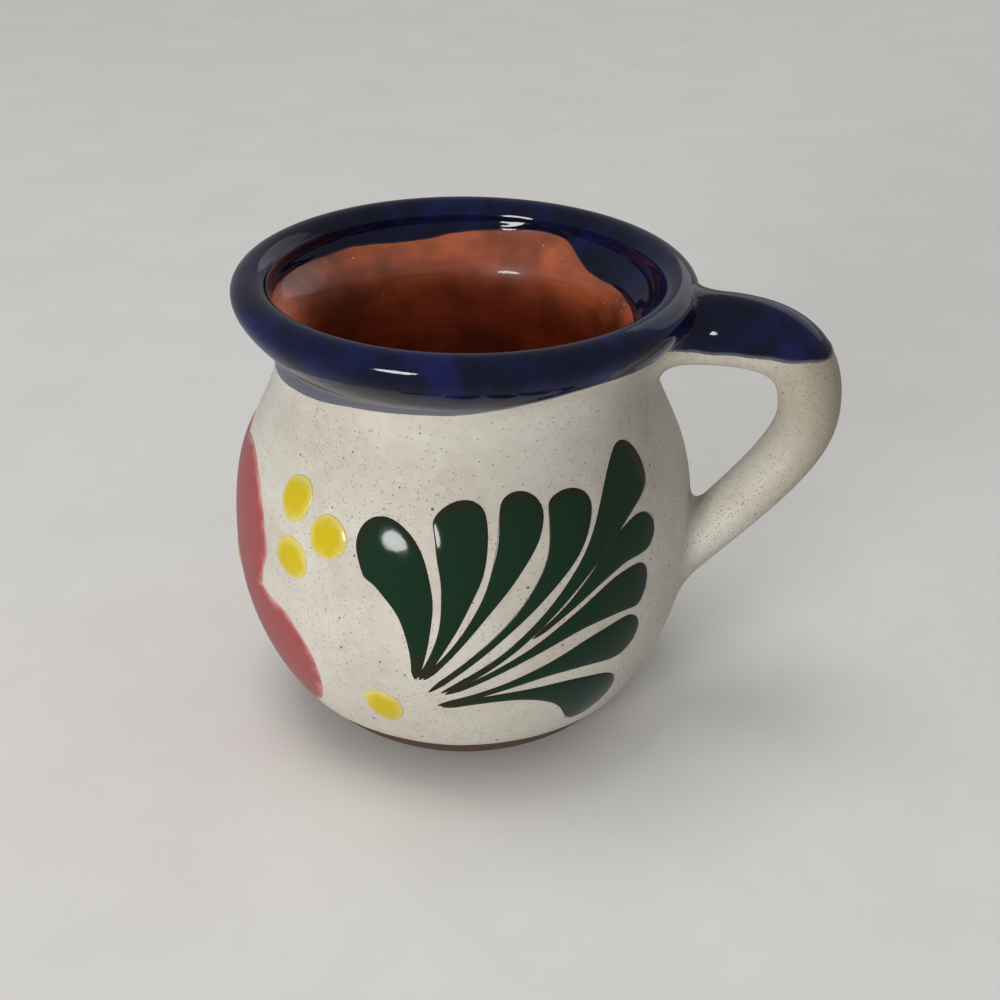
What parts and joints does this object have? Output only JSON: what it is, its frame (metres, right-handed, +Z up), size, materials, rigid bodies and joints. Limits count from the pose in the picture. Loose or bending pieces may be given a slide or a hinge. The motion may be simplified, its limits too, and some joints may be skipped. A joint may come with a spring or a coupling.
{
  "type": "jarrito clay mug",
  "caption": "Small round-bellied clay mug with a flared blue rim, a pulled side handle, a cream coat and raised painted strokes in green, yellow and red.",
  "frame": {"origin": "middle of the flat foot's face, on the surface that the mug stands on", "axes": "+Z up along the mug's axis, +X from the axis towards the handle, +Y away from the painted near side"},
  "size_m": [0.1178, 0.0916, 0.0928],
  "materials": {
    "terracotta": "matte fired clay",
    "cream_slip": "matte, with fine dark specks",
    "cobalt_glaze": "glossy, thick, near black where deep",
    "clear_gloss": "glossy clear coat over terracotta",
    "green_stroke": "glossy, raised",
    "yellow_stroke": "glossy, raised, paler at the edge",
    "red_stroke": "satin, paler at the edge"
  },
  "bodies": {
    "root": {"clay_body": "terracotta", "handle": "terracotta", "upper_luting_slip": "cobalt_glaze", "lower_luting_slip": "cream_slip", "body_slip_coat": "cream_slip", "handle_slip_coat": "cream_slip", "rim_glaze": "cobalt_glaze", "handle_glaze": "cobalt_glaze", "inner_glaze": "clear_gloss", "flower_eye": "yellow_stroke", "leaf_1": "green_stroke", "leaf_2": "green_stroke", "leaf_3": "green_stroke", "leaf_4": "green_stroke", "leaf_5": "green_stroke", "leaf_6": "green_stroke", "leaf_7": "green_stroke", "leaf_8": "green_stroke", "leaf_9": "green_stroke", "far_leaf_1": "green_stroke", "far_leaf_2": "green_stroke", "far_leaf_3": "green_stroke", "far_leaf_4": "green_stroke", "far_leaf_5": "green_stroke", "far_leaf_6": "green_stroke", "far_leaf_7": "green_stroke", "far_leaf_8": "green_stroke", "far_leaf_9": "green_stroke", "dot_upper": "yellow_stroke", "dot_near": "yellow_stroke", "dot_lower": "yellow_stroke", "dot_low": "yellow_stroke", "far_dot_upper": "yellow_stroke", "far_dot_near": "yellow_stroke", "far_dot_lower": "yellow_stroke", "far_dot_low": "yellow_stroke", "petal_near_low": "red_stroke", "petal_near_high": "red_stroke", "petal_far_high": "red_stroke", "petal_far_low": "red_stroke", "petal_bottom": "red_stroke"}
  },
  "joints": []
}
